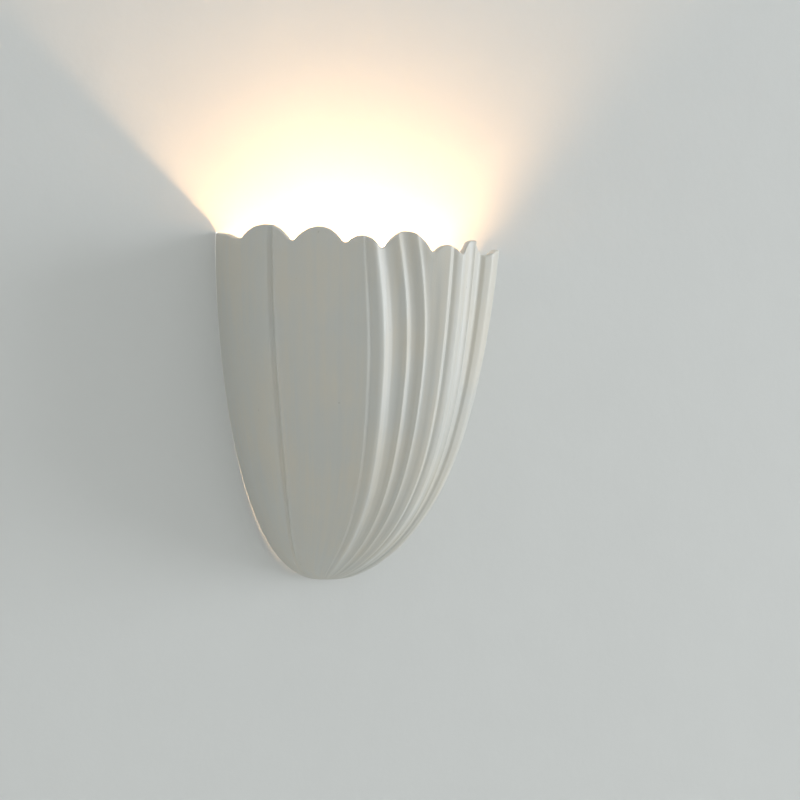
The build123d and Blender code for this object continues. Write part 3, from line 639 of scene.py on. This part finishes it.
def shellPointGroup(outline):
    own = dict.fromkeys(("Angle", "Level", "Inset", "Floor", "Flutes", "Chamfer"), 0.0)
    inputs = sockets("Float", {**pointValues, **own})
    tree, w, result = newTree("shellPoint", "Geometry", inputs, {"Position": "Vector"})
    size = put(tree, "GeometryNodeGroup", node_tree=outline)
    for socket in size.inputs:
        link(tree, w[socket.name], socket)
    width, out = (Wire(tree, socket) for socket in size.outputs)
    degrees, level, top, touch, square = (
        w[name] for name in ("Angle", "Level", "Top", "Touch Level", "Squareness"))
    angle = degrees * (math.pi / 180)
    across, forward = angle.do("SINE"), clamped(angle.do("COSINE"))
    reach = across.do("ABSOLUTE") ** square + forward ** square
    swell = reach ** (square ** -1 * -1)
    # near the rim the middle flutes lean to the left
    near = clamped(1 - (top - level) / w["Lean Drop"])
    inside = (mapRange(degrees, w["Lean Start"], w["Lean Full"], smooth=True)
              * mapRange(degrees, w["Lean Fade"], w["Lean End"], 1.0, 0.0, smooth=True))
    turned = degrees + w["Lean"] * near * near * inside
    flute = (floatCurve(turned, (-90, flutesMeet), fluteHeights, inMetres(sideFlutes))
             + floatCurve(turned, (flutesMeet, 90), fluteHeights, inMetres(frontFlutes)))
    rise = flute * w["Flutes"] * width / w["Half Width"]
    x = (width * swell + rise) * across
    y = (out * swell + rise) * forward
    # the back edge is a shallow arc off the wall, so light leaks past it
    under = clamped((touch - level) / (touch - top + w["Height"]))
    over = clamped((level - touch) / (top - touch))
    gap = w["Gap Bottom"] * under * under + w["Gap Top"] * over * over + w["Chamfer"]
    gap = gap.do("MINIMUM", out * 0.5)
    y = (gap + y * (1 - gap / out.do("MAXIMUM", 0.000001))) * -1
    return give(tree, result, Position=combine(tree, x, y, level))


def lugPair(tree, w):
    # cast lugs for the hanger pins, from their faces into the wall
    outline = put(tree, "GeometryNodeCurvePrimitiveQuadrilateral", {0: w["Lug Depth"], 1: w["Lug Height"]})
    profile = put(tree, "GeometryNodeFilletCurve", {
        "Curve": outline, "Radius": w["Lug Corner"], "Count": w["Corner Steps"]}, mode="POLY")
    atFace = combine(tree, x=w["Lug Face"])
    core = put(tree, "GeometryNodeCurvePrimitiveLine", {
        "Start": atFace, "End": combine(tree, x=w["Lug End"])})
    block = swept(tree, core, profile)
    drill = rod(tree, w["Hole Sides"], w["Insert Hole"], w["Insert Depth"] * 2)
    drill = transformed(tree, drill, Translation=atFace, Rotation=(0, math.pi / 2, 0))
    bored = boolean(tree, "DIFFERENCE", block, drill)
    # the end in the wall follows the wall's slant
    x, z = axesOf(tree, here(tree))[::2]
    atEnd = x.do("GREATER_THAN", w["Lug End"] - w["Lug Band"])
    slanted = moved(tree, bored, Offset=combine(tree, x=z * w["Lug Slant"] * atEnd))
    outwards = combine(tree, y=w["Lug Out"] * -1)
    right = transformed(tree, slanted, Translation=outwards, Scale=(1, 1, 1))
    left = flipped(tree, transformed(tree, slanted, Translation=outwards, Scale=(-1, 1, 1)))
    lugs = [kept(tree, lug, "fluteSpot", (0.5, 0.5, 1.0), "FLOAT_VECTOR") for lug in (right, left)]
    return join(tree, lugs)


def scallopedShellTree():
    tree, w, result = pieceTree("scallopedShell", {
        **sockets("Float", shellValues), **sockets("Int", shellCounts)})
    point = shellPointGroup(outlineGroup())
    tip = w["Top"] - w["Height"]

    def shellPoint(angle, level, inset, floor, flutes, chamfer):
        return put(tree, "GeometryNodeGroup", {
            "Angle": angle, "Level": level, "Inset": inset, "Floor": floor, "Flutes": flutes,
            "Chamfer": chamfer, **{name: w[name] for name in pointValues}}, node_tree=point)

    def rimLevel(angle):
        lobes = floatCurve(angle, (-90, 90), rimHeights, inMetres(rimShape()))
        return w["Rim Level"] + lobes - w["Rim Round"]

    def outerPoint(angle, along):
        # along is 0 at the tip and 1 at the rim
        rim = rimLevel(angle)
        level = rim - (rim - tip) * (1 - along ** w["Crowding"])
        return shellPoint(angle, level, 0.0, 0.0, 1.0, 0.0)

    def innerPoint(angle, along):
        rim = rimLevel(angle)
        level = rim - (rim - tip - w["Tip Wall"]) * (1 - along ** w["Crowding"])
        return shellPoint(angle, level, w["Wall"], w["Tip Wall"], w["Inner Flutes"], w["Back Chamfer"])

    def overRim(across):
        # how far over the wall, and how high over the rim's shoulders, for 0..1 round the rim
        turn = across * math.pi
        rise = clamped(turn.do("SINE")) ** w["Rim Fullness"]
        return 0.5 - turn.do("COSINE") * 0.5, rise * w["Rim Round"]

    def backEdge(outer, inner, share):
        # a flat lip at the wall, then the chamfer up to the inner face
        a, b, flat = (axesOf(tree, end) for end in (outer, inner, between(outer, inner, share)))
        late = clamped((share - w["Back Lip"]) / (1 - w["Back Lip"]))
        return combine(tree, flat[0], a[1] + (b[1] - a[1]) * late, flat[2])

    def raised(position, height):
        return vectorMath(tree, "ADD", position, combine(tree, z=height))

    def laid(grid, position, spot):
        # the spot (across, along, how far inside) is kept for the plaster
        return moved(tree, kept(tree, grid, "fluteSpot", spot, "FLOAT_VECTOR"), Position=position)

    grid, across, along = unitGrid(tree, w["Columns"], w["Rows"])
    patches = [laid(grid, outerPoint(across * 180 - 90, along), combine(tree, across, along))]
    grid, across, along = unitGrid(tree, w["Columns"], w["Rows"])
    inner = laid(grid, innerPoint(across * 180 - 90, along), combine(tree, across, along, 1.0))
    patches.append(flipped(tree, inner))
    # the rim, from the outside over to the inside
    grid, across, along = unitGrid(tree, w["Columns"], w["Rim Steps"])
    share, lift = overRim(along)
    angle, last = across * 180 - 90, along * 0 + 1
    outer, inner = outerPoint(angle, last), innerPoint(angle, last)
    atSide = mapRange(angle.do("ABSOLUTE"), 89.99, 90.0)   # the rim's ends meet the back edge
    flat = between(between(outer, inner, share), backEdge(outer, inner, share), atSide)
    patches.append(laid(grid, raised(flat, lift), combine(tree, across, last, along)))
    for side in (-90, 90):
        # the back edge, from the outside to the inside, and its little cap at the rim
        grid, across, along = unitGrid(tree, w["Rim Steps"], w["Rows"])
        share = overRim(across)[0]
        angle = across * 0 + side
        edge = backEdge(outerPoint(angle, along), innerPoint(angle, along), share)
        strip = laid(grid, edge, combine(tree, angle / 180 + 0.5, along, across))
        grid, across, along = unitGrid(tree, w["Rim Steps"], 2)
        share, lift = overRim(across)
        angle, last = across * 0 + side, along * 0 + 1
        flat = backEdge(outerPoint(angle, last), innerPoint(angle, last), share)
        cap = laid(grid, raised(flat, lift * along), combine(tree, angle / 180 + 0.5, last, across))
        patches += [part if side > 0 else flipped(tree, part) for part in (strip, cap)]
    welded = merged(tree, join(tree, reversed(patches)), w["Weld"])
    # a cast and sanded piece isn't quite even; it only ever goes inwards, and not at the wall
    spot = vectorMath(tree, "ADD", here(tree), combine(tree, z=w["Seed"]))
    wander = noise(tree, spot, w["Uneven Scale"], 2.0)
    offWall = mapRange(axesOf(tree, here(tree))[1], w["Uneven From"], w["Even Until"], 1.0, 0.0)
    away = ((wander - 0.5) * 2 * w["Unevenness"] - w["Unevenness"]) * offWall
    uneven = moved(tree, welded, Offset=scaled(tree, put(tree, "GeometryNodeInputNormal"), away))
    return endTree(tree, join(tree, [lugPair(tree, w), shadedSmooth(tree, uneven)]), w["Finish"], result)


plasterValues = dict(
    cool=(0.536, 0.540, 0.510), warm=(0.574, 0.550, 0.486), inside=(0.66, 0.65, 0.62),
    # the pit colour is painted shade in the hollows of the pits
    rubbed=(0.65, 0.65, 0.63), paintedPitShade=(0.40, 0.385, 0.35), rough=0.47, roughRange=0.10, bump=0.00016,
    grain=(1100.0, 16.0), broadStreaks=(60.0, 2.6, 1.0), fineStreaks=(190.0, 5.0, 1.0),
    dents=(95.0, 0.085, 0.16), pores=(430.0, 0.16, 0.22),
)


def makePlaster(v):
    material, tree, place = startMaterial("castPlaster")
    spot = put(tree, "ShaderNodeAttribute", attribute_name="fluteSpot").outputs["Vector"]
    fine, broad = grainAt(tree, place, *v["grain"])
    rubbed = useGroup(tree, wear, place)[0]
    # brush streaks run down the flutes
    streak = linesAt(tree, spot, v["broadStreaks"]) * 0.72 + linesAt(tree, spot, v["fineStreaks"]) * 0.28
    pit = pitsAt(tree, place, *v["dents"]) + pitsAt(tree, place, *v["pores"]) * 0.35
    within = mapRange(axesOf(tree, spot)[2], 0.25, 0.8)
    colour = mixColour(mapRange(broad * 0.55 + streak * 0.45, 0.30, 0.72), v["cool"], v["warm"])
    colour = mixColour(rubbed * 0.5, colour, v["rubbed"])
    colour = mixColour(within, colour, v["inside"])
    # the pits are painted darker: painted shade in their hollows
    colour = mixColour(pit.do("MINIMUM", 1.0) * 0.7, colour, v["paintedPitShade"])
    rough = broad * v["roughRange"] + streak * v["roughRange"] + (v["rough"] - v["roughRange"])
    rough = rough - rubbed * 0.06
    height = streak * 0.45 + fine * 0.14 + broad * 0.35 - pit * 1.3
    return closeMaterial(material, colour, rough, height, v["bump"])


shell = grow("shellCast", scallopedShellTree(), {
    **shellValues, **shellCounts, "Finish": makePlaster(plasterValues)})
standFor(shell, "shell", "shell")

# screws and nuts: CAD node, where they point, and the tree's inputs in metres
m4Screw = {"Radius": 0.002, "Length": 0.0075, "Pitch": 0.0007, "Head Radius": 0.0039, "Head Height": 0.0026,
           "Slot Width": 0.001014, "Slot Depth": 0.00156}
m3Screw = {"Radius": 0.0015, "Length": 0.0103, "Pitch": 0.0005, "Head Radius": 0.0028, "Head Height": 0.002,
           "Slot Width": 0.000728, "Slot Depth": 0.0012}
slotted = {"Cross": False, "Slot Length": 2.4}
m4Nut = {"Bore": 0.00205, "Flats": 0.0070, "Height": 0.0026}
m3Nut = {"Bore": 0.00155, "Flats": 0.0055, "Height": 0.0022}
armPair = {"Step": (0.016, 0, 0), "Count": 2}
holderPair = {"Step": (0.028, 0, 0), "Count": 2}
screwSets = {
    "armScrews": ("arm_screws", "room", {**m4Screw, **armPair, "First": (-0.008, -0.008, -0.099)}),
    "earthScrew": ("earth_screw", "room", {**m4Screw, "First": (0.024, -0.0081, -0.091)}),
    "blockScrew": ("block_screw", "room", {
        **m3Screw, "Length": 0.0138, "First": (0.004, -0.016, -0.11775)}),
    "holderScrews": ("holder_screws", "up", {**m3Screw, **holderPair, "First": (-0.014, -0.044, -0.078)}),
    "clampScrews": ("terminal_screws", "room", {
        **slotted, "Radius": 0.0014, "Length": 0.0036, "Pitch": 0.0005, "Head Radius": 0.00125,
        "Head Height": 0.0008, "Slot Width": 0.0005, "Slot Depth": 0.0009,
        "First": (-0.0015, -0.0173, -0.1305), "Step": (0.011, 0, 0), "Count": 2,
        "Second Step": (0, 0, 0.0085), "Second Count": 3}),
    "shoulderPins": ("hanger_pins", "middle", {
        **slotted, "Radius": 0.002, "Length": 0.0101, "Pitch": 0.0007, "Head Radius": 0.0045,
        "Head Height": 0.0024, "Slot Width": 0.0011, "Slot Depth": 0.0011, "Shoulder": 0.0031,
        "First": (-0.0833, -0.016, 0), "Step": (0.1666, 0, 0), "Count": 2}),
}
nutSets = {
    "armNuts": ("arm_nuts", "wall", {**m4Nut, **armPair, "First": (-0.008, -0.005, -0.099)}),
    "earthNut": ("earth_nut", "wall", {**m4Nut, "First": (0.024, -0.005, -0.091)}),
    "blockNut": ("block_nut", "wall", {**m3Nut, "First": (0.004, -0.005, -0.11775)}),
    "holderNuts": ("holder_nuts", "up", {**m3Nut, **holderPair, "First": (-0.014, -0.044, -0.0877)}),
}
rowsPerPitch = 6
sharpFrom = math.radians(38)   # edges bent more than this stay sharp
quarter = math.pi / 2
# the turn of a set, and what each next copy is turned by
turns = {"room": ((quarter, 0, 0), (0, 0, 0)), "wall": ((-quarter, 0, 0), (0, 0, 0)),
         "up": ((0, 0, 0), (0, 0, 0)), "middle": ((0, quarter, 0), (0, 0, math.pi))}
placingInputs = {
    **sockets("Vector", dict.fromkeys(("First", "Step", "Second Step", "Turn", "Turn Each"))),
    **sockets("Int", dict.fromkeys(("Count", "Second Count", "Seed"), 1)),
}


def placeCopies(tree, w, piece, result, clocking):
    # copies on a row of rows, each turned a little about its own axis, smooth but for sharp edges
    row = put(tree, "GeometryNodeMeshLine", {
        "Count": w["Second Count"], "Start Location": w["First"], "Offset": w["Second Step"]})
    line = put(tree, "GeometryNodeMeshLine", {"Count": w["Count"], "Offset": w["Step"]})
    rows = put(tree, "GeometryNodeInstanceOnPoints", {"Points": row, "Instance": line})
    spots = put(tree, "GeometryNodeMeshToPoints", {0: put(tree, "GeometryNodeRealizeInstances", {0: rows})})
    further = scaled(tree, w["Turn Each"], put(tree, "GeometryNodeInputIndex"))
    bent = Wire(tree, put(tree, "GeometryNodeInputMeshEdgeAngle")).do("GREATER_THAN", sharpFrom)
    edges = put(tree, "GeometryNodeSetShadeSmooth", {
        0: shadedSmooth(tree, piece), "Selection": bent, "Shade Smooth": False}, domain="EDGE")
    copies = put(tree, "GeometryNodeInstanceOnPoints", {
        "Points": spots, "Instance": edges, "Rotation": vectorMath(tree, "ADD", w["Turn"], further)})
    chance = put(tree, "FunctionNodeRandomValue", {"Seed": w["Seed"]}, data_type="FLOAT")
    angle = Wire(tree, next(s for s in chance.outputs if s.enabled)) * clocking
    turned = put(tree, "GeometryNodeRotateInstances", {
        "Instances": copies, "Rotation": combine(tree, z=angle), "Local Space": True})
    return endTree(tree, turned, w["Finish"], result)


def lathePatch(tree, around, rows, shape, turn=1):
    # shape(across, along) gives radius and height of a grid wrapped round the Z axis
    grid, across, along = unitGrid(tree, around, rows)
    radius, height = shape(across, along)
    angle = across * (2 * math.pi * turn)
    position = combine(tree, radius * angle.do("COSINE"), radius * angle.do("SINE"), height)
    return moved(tree, grid, Position=position)


def screwTree():
    sizes = {**m4Screw, "Thread Depth": 0.32, "Bevel": 0.25, "Head Fullness": 3.2, "Head Edge": 0.15,
             "Shoulder": 0.0, "Shoulder Radius": 0.0025, "Slot Length": 1.1, "Weld": 0.000002}
    counts = {"Thread Rows": 60, "End Rows": 3, "Head Rows": 21, "Around": 33}
    tree, w, result = pieceTree("threadedScrew", {
        **sockets("Float", sizes), **sockets("Int", counts), "Cross": ("Bool", True), **placingInputs})

    radius, length, pitch, shoulder = (w[name] for name in ("Radius", "Length", "Pitch", "Shoulder"))

    def shankRadius(across, depth):
        onThread = depth.do("GREATER_THAN", shoulder + 0.00001)
        down = ((depth - shoulder) / pitch + across).do("FRACT")
        wave = (down * 2 - 1).do("ABSOLUTE")
        runIn = mapRange(depth - shoulder, 0.0, pitch)
        runOut = mapRange(length - depth, 0.0, pitch)
        cut = pitch * w["Thread Depth"] * wave * runIn * runOut
        thread = radius - cut - clamped((depth - length) + radius * w["Bevel"])
        plain = shoulder.do("GREATER_THAN", 0.0) * (w["Shoulder Radius"] - radius) + radius
        return plain + (thread - plain) * onThread

    def shank(across, along):
        depth = along * length
        return shankRadius(across, depth), depth * -1

    def end(across, along):
        last = across * 0 + length
        return shankRadius(across, last) * (1 - along), last * -1

    def head(across, along):
        # flat underneath up to the head's edge, then a full dome
        start = shankRadius(across, across * 0)
        under = mapRange(along, 0.0, w["Head Edge"])
        over = mapRange(along, w["Head Edge"], 1.0) * quarter
        power = w["Head Fullness"] ** -1 * 2
        dome, rise = (clamped(over.do(wave)) ** power for wave in ("COSINE", "SINE"))
        wide = start + (w["Head Radius"] - start) * under
        onDome = along.do("GREATER_THAN", w["Head Edge"] + 0.0001)
        return wide * (1 - (1 - dome) * onDome), rise * w["Head Height"]

    solid = merged(tree, join(tree, [
        lathePatch(tree, w["Around"], w["Thread Rows"], shank, -1),
        lathePatch(tree, w["Around"], w["End Rows"], end, -1),
        lathePatch(tree, w["Around"], w["Head Rows"], head)]), w["Weld"])
    size = combine(tree, w["Head Radius"] * w["Slot Length"], w["Slot Width"], w["Slot Depth"] * 2)
    bar, top = put(tree, "GeometryNodeMeshCube", {"Size": size}), combine(tree, z=w["Head Height"])
    first, second = (transformed(tree, bar, Translation=top, Rotation=(0, 0, turned))
                     for turned in (0.0, quarter))
    single = boolean(tree, "DIFFERENCE", solid, first)
    crossed = boolean(tree, "DIFFERENCE", single, second)
    cut = put(tree, "GeometryNodeSwitch", {0: w["Cross"], 1: single, 2: crossed}, input_type="GEOMETRY")
    return placeCopies(tree, w, cut, result, math.pi)


def nutTree():
    sizes = {**m4Nut, "Corner": 1.05, "Ball Width": 0.985, "Ball Height": 1.02}
    tree, w, result = pieceTree("hexNut", {
        **sockets("Float", sizes), "Hole Sides": ("Int", 32), **placingInputs})
    corner = w["Flats"] / 2 / math.cos(math.pi / 6)
    prism = rod(tree, 6, corner, w["Height"])
    ball = put(tree, "GeometryNodeMeshUVSphere", {"Segments": 36, "Rings": 24, "Radius": 1.0})
    # a squashed ball rounds the corners at both ends
    wide, tall = corner * w["Corner"] * w["Ball Width"], w["Height"] * w["Ball Height"]
    squashed = transformed(tree, ball, Scale=combine(tree, wide, wide, tall))
    rounded = boolean(tree, "INTERSECT", prism, squashed)
    bored = boolean(tree, "DIFFERENCE", rounded, rod(tree, w["Hole Sides"], w["Bore"], w["Height"] * 2))
    standing = transformed(tree, bored, Translation=combine(tree, z=w["Height"] / 2))
    return placeCopies(tree, w, standing, result, 0.0)


def growSet(name, tree, node, towards, values):
    turn, each = turns[towards]
    piece = grow(name, tree, {**values, "Turn": turn, "Turn Each": each, "Finish": materials["zinc_screw"]})
    standFor(piece, "shell" if node == "hanger_pins" else "mounting", node)


screws, nuts = screwTree(), nutTree()
for seed, (name, (node, towards, v)) in enumerate(screwSets.items()):
    rows = int(v["Length"] / v["Pitch"] * rowsPerPitch) + 1
    growSet(name, screws, node, towards, {**v, "Thread Rows": rows, "Seed": seed})
for name, (node, towards, v) in nutSets.items():
    growSet(name, nuts, node, towards, v)

# leads: the routes' points, in mm, are those of the CAD model
leadValues = dict(
    radius=0.0012, around=20, steps=24, grain=(2200.0, 120.0), bump=0.00002, rough=0.38, drawn=(40, 60),
    stripeShare=0.20, wobble=0.03,
)
leadSets = {
    "liveLead": dict(
        node="live_lead", slot="lead_brown", colour=(0.075, 0.028, 0.012), second=(0.10, 0.042, 0.02),
        route=[
            (4.5, -44, -80), (4.5, -44, -100), (15, -39, -116),
            (30, -28, -119), (31, -13, -122), (12, -13, -122)]),
    "neutralLead": dict(
        node="neutral_lead", slot="lead_blue", colour=(0.012, 0.045, 0.22), second=(0.022, 0.066, 0.28),
        route=[
            (-4.5, -44, -80), (-4.5, -44, -105), (4, -36, -120),
            (31, -24, -126), (32, -13, -130.5), (12, -13, -130.5)]),
    "earthLead": dict(
        node="earth_lead", slot="lead_green", colour=(0.03, 0.20, 0.03), second=(0.045, 0.25, 0.045),
        stripe=(0.75, 0.56, 0.03), route=[
            (12, -13, -113.5), (21, -13, -113.5), (24, -8.4, -108.5), (24, -8.4, -99)]),
}


def leadTree():
    tree, w, result = pieceTree("insulatedLead", {
        "Route": ("Geometry", None), "Radius": ("Float", leadValues["radius"]),
        "Around": ("Int", leadValues["around"])})
    profile = put(tree, "GeometryNodeCurvePrimitiveCircle", {
        "Radius": w["Radius"], "Resolution": w["Around"]})
    share = put(tree, "GeometryNodeSplineParameter")
    ring = kept(tree, profile, "leadTurn", share.outputs["Factor"])
    line = kept(tree, w["Route"], "leadRun", share.outputs["Length"])
    return endTree(tree, shadedSmooth(tree, swept(tree, line, ring)), w["Finish"], result)


def makeLeadFinish(v, shared):
    material, tree, place = startMaterial(v["slot"] + "Finish")
    fine, broad = grainAt(tree, place, *shared["grain"])
    turn, run = (Wire(tree, put(tree, "ShaderNodeAttribute", attribute_name=name).outputs["Fac"])
                 for name in ("leadTurn", "leadRun"))
    colour = mixColour(broad, v["colour"], v["second"])
    if "stripe" in v:
        wobble = (broad - 0.5) * shared["wobble"]
        striped = (turn + wobble - 0.5).do("ABSOLUTE").do("LESS_THAN", shared["stripeShare"])
        colour = mixColour(striped, colour, v["stripe"])
    drawn = combine(tree, turn * shared["drawn"][0], run * shared["drawn"][1])
    lines = noise(tree, drawn, 1.0, 2.0)
    rough = lines * 0.12 + broad * 0.08 + shared["rough"]
    return closeMaterial(material, colour, rough, fine * 0.5 + lines, shared["bump"])


def makeRoute(name, points):
    curve = bpy.data.curves.new(name, "CURVE")
    curve.dimensions = "3D"
    curve.resolution_u = leadValues["steps"]
    spline = curve.splines.new("NURBS")
    spline.points.add(len(points) - 1)
    for point, place in zip(spline.points, points):
        point.co = (*(axis / 1000 for axis in place), 1)
    spline.order_u = 3
    spline.use_endpoint_u = True
    return curve


leads = leadTree()
for name, v in leadSets.items():
    finish = makeLeadFinish(v, leadValues)
    piece = grow(name, leads, {"Finish": finish}, makeRoute(name + "Route", v["route"]))
    standFor(piece, "mounting", v["node"])
print("screws, nuts and leads made")

bulbValues = dict(
    strength=125.0, crown=2.5, foot=0.55, sides=(1.05, 0.6), light=(1.0, 0.61, 0.30),
    cover=(0.82, 0.80, 0.75), coverShade=(0.7708, 0.752, 0.705), coverGrain=(1400.0, 150.0),
    coverBump=0.00002, radius=0.008, footLevels=(-0.055, -0.047), crownLevels=(-0.022, -0.015),
    phosphor=(0.85, 0.62, 0.12), board=(0.80, 0.79, 0.74), boardShade=(0.72, 0.71, 0.66),
    chipStrength=300.0, chipScale=520.0, chipSize=0.42, chipEdge=0.05, chipHeight=0.0003,
)


def makeBulbCover(v):
    # frosted cover: brightest at its top, darker at its foot, and the core shines more to one side
    material, tree, place = startMaterial("bulbCoverGlow")
    x, level = axesOf(tree, place)[::2]
    around = mapRange(x, -v["radius"], v["radius"], *v["sides"])
    fine, broad = grainAt(tree, place, *v["coverGrain"])
    even = mapRange(level, *v["footLevels"], v["foot"], 1.0, smooth=True)
    even = even * mapRange(level, *v["crownLevels"], 1.0, v["crown"], smooth=True)
    light = scaled(tree, v["light"], even * around * (broad * 0.06 + 0.97))
    colour = mixColour(broad, v["cover"], v["coverShade"])
    return closeMaterial(material, colour, fine * 0.1 + 0.5, fine, v["coverBump"], {
        "Emission Color": light, "Emission Strength": v["strength"]})


def makeLedCore(v):
    # rows of small yellow chips on a white core
    material, tree, place = startMaterial("ledCoreGlow")
    cells = put(tree, "ShaderNodeTexVoronoi", {
        "Vector": place, "Scale": v["chipScale"], "Randomness": 0.1}, distance="CHEBYCHEV")
    away = Wire(tree, cells.outputs["Distance"])
    chip = mapRange(away, v["chipSize"] - v["chipEdge"], v["chipSize"], 1.0, 0.0)
    broad = useGroup(tree, grain, place)[1]
    board = mixColour(broad, v["board"], v["boardShade"])
    colour = mixColour(chip, board, v["phosphor"])
    return closeMaterial(material, colour, broad * 0.15 + 0.4, chip, v["chipHeight"], {
        "Emission Color": scaled(tree, v["light"], chip), "Emission Strength": v["chipStrength"]})


glowing = {"bulb_diffuser": makeBulbCover(bulbValues), "led_phosphor": makeLedCore(bulbValues)}
for name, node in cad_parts.items():
    if name not in replaced:
        for slot in node.material_slots:
            slotName = slot.material.name.split(".")[0]
            slot.material = glowing.get(slotName) or materials[slotName]
print("finishes given to", len(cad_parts) - len(replaced), "nodes")
